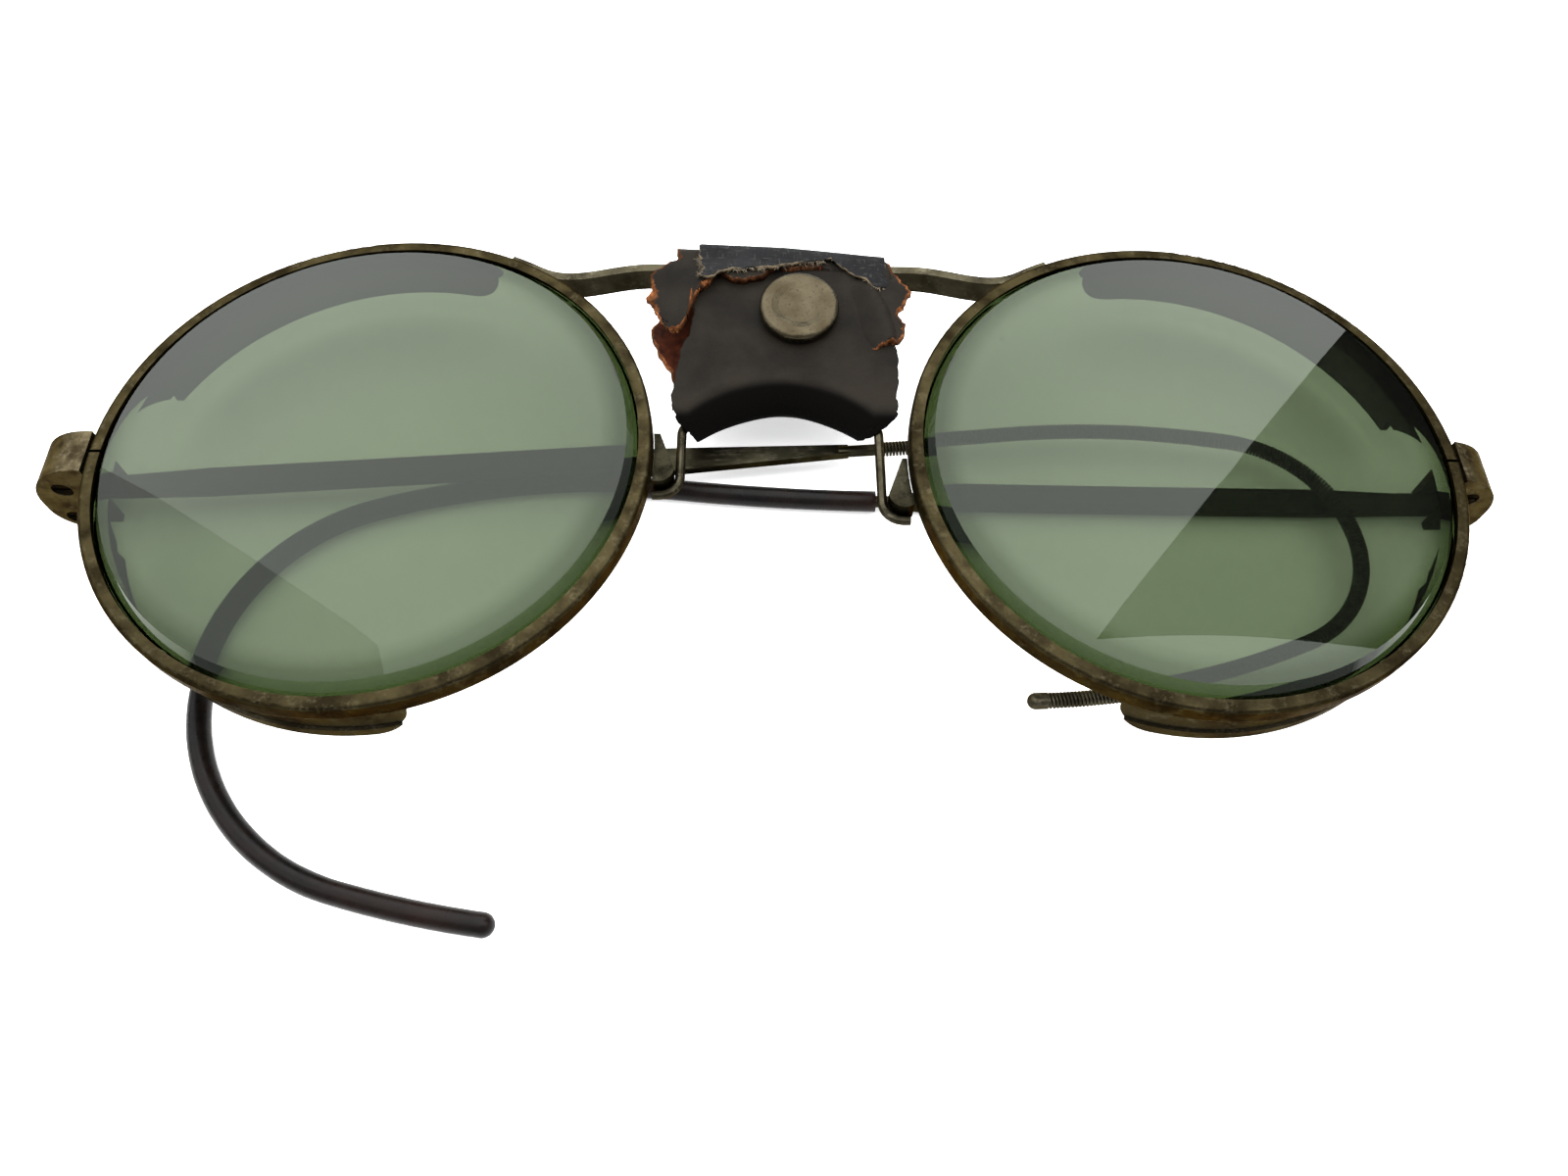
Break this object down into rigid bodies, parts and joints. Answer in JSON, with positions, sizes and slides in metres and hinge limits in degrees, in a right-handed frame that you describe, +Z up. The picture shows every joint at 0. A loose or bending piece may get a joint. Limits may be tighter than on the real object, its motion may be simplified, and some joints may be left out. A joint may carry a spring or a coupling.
{
  "type": "round-lens safety spectacles",
  "caption": "Round-lens safety spectacles with metal side shields, folding cable temples and a snapped leather nose guard, lying folded with the lenses up.",
  "frame": {"origin": "on the table midway between the two lens centres, with the spectacles folded and lying lenses up", "axes": "+X from the temple with the bare wound cable to the temple with the sheathed cable, +Y to the brow, +Z up from the table to the lenses"},
  "size_m": [0.1366, 0.067, 0.0118],
  "materials": {
    "tinted_glass": "polished grey-green glass with a ground edge",
    "aged_nickel": "plated wire worn to brown and olive",
    "shield_metal": "dark tarnished sheet",
    "endpiece_metal": "worn plating, darker on the cheeks",
    "dark_steel": "dark steel screw",
    "temple_metal": "worn nickel plate",
    "cable_steel": "drawn wire",
    "cable_wire": "close-wound plated wire",
    "tip_metal": "drawn cap, worn",
    "sheath": "black-brown glossy sleeve",
    "lug_metal": "pressed lug, brown-grey",
    "bridge_metal": "plated strip, bright on the upper edge",
    "wire_metal": "plated wire",
    "leather": "cracked dark leather with torn brown edges",
    "snap_nickel": "brownish nickel, slightly dished",
    "snap_inner": "plain pressed metal"
  },
  "bodies": {
    "front": {"left_lens": "tinted_glass", "right_lens": "tinted_glass", "left_eyewire": "aged_nickel", "right_eyewire": "aged_nickel", "left_shield": "shield_metal", "right_shield": "shield_metal", "left_endpiece": "endpiece_metal", "right_endpiece": "endpiece_metal", "left_rim_screw": "dark_steel", "right_rim_screw": "dark_steel", "left_hinge_screw": "dark_steel", "right_hinge_screw": "dark_steel", "left_bridge_lug": "lug_metal", "right_bridge_lug": "lug_metal", "brow_bar": "bridge_metal", "saddle_wire": "wire_metal", "nose_leather": "leather", "snap_cap": "snap_nickel", "snap_socket": "snap_inner", "snap_stud": "snap_inner", "snap_post": "snap_inner"},
    "left_temple": {"left_temple_bar": "temple_metal", "left_cable_core": "cable_steel", "left_cable_winding": "cable_wire", "left_cable_tip": "tip_metal"},
    "right_temple": {"right_temple_bar": "temple_metal", "right_cable_core": "cable_steel", "right_cable_winding": "cable_wire", "right_cable_sheath": "sheath"}
  },
  "joints": [
    {"name": "left_hinge", "type": "hinge", "parent": "front", "child": "left_temple", "pos_m": [-0.067, 0, 0.0019], "axis": [0, 1, 0], "range_deg": [0, 90]},
    {"name": "right_hinge", "type": "hinge", "parent": "front", "child": "right_temple", "pos_m": [0.0656, 0, 0.0019], "axis": [0, -1, 0], "range_deg": [0, 90]}
  ]
}
